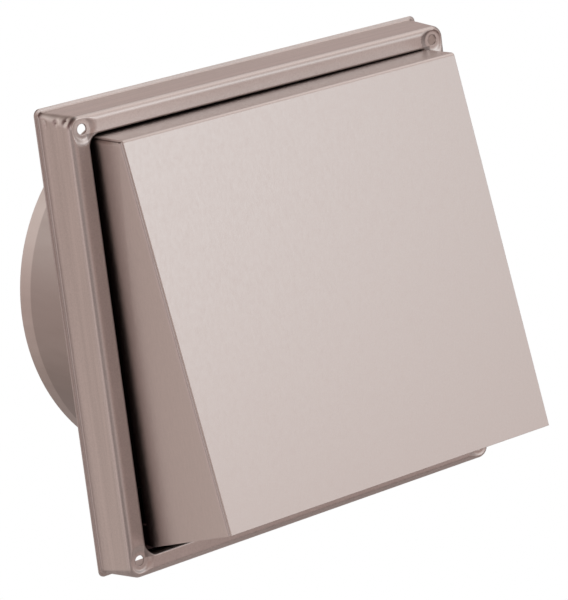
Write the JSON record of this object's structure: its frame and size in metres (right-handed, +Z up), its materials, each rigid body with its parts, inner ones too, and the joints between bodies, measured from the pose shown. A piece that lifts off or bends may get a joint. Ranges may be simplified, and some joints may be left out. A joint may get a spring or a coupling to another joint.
{
  "type": "hooded vent grille",
  "caption": "Square stainless wall vent: a sloped rain hood open underneath in a drawn frame, a round duct spigot behind, and a gravity flap inside against back draughts.",
  "frame": {"origin": "on the spigot's axis, in the plane of the wall that the back flange lies on", "axes": "+Z up, -Y out of the wall towards the hood, +Y along the spigot into the wall, +X to the right seen from the front"},
  "size_m": [0.18, 0.1262, 0.18],
  "materials": {
    "frame_steel": "satin, faint draw lines along the walls",
    "spigot_steel": "mill satin",
    "hood_steel": "fine satin",
    "flap_aluminium": "mill",
    "fittings_steel": "bright",
    "seal_rubber": "matt black"
  },
  "bodies": {
    "casing": {"frame": "frame_steel", "spigot": "spigot_steel", "hood_cover": "hood_steel", "hood_side_left": "hood_steel", "hood_side_right": "hood_steel", "flap_rod": "fittings_steel", "flap_lug_left": "fittings_steel", "flap_lug_right": "fittings_steel", "lug_rivets": "fittings_steel", "flap_seal": "seal_rubber"},
    "flap": {"flap": "flap_aluminium"}
  },
  "joints": [
    {"name": "flap_hinge", "type": "hinge", "parent": "casing", "child": "flap", "pos_m": [0, -0.02028, 0.072], "axis": [-1, 0, 0], "range_deg": [0, 20]}
  ]
}
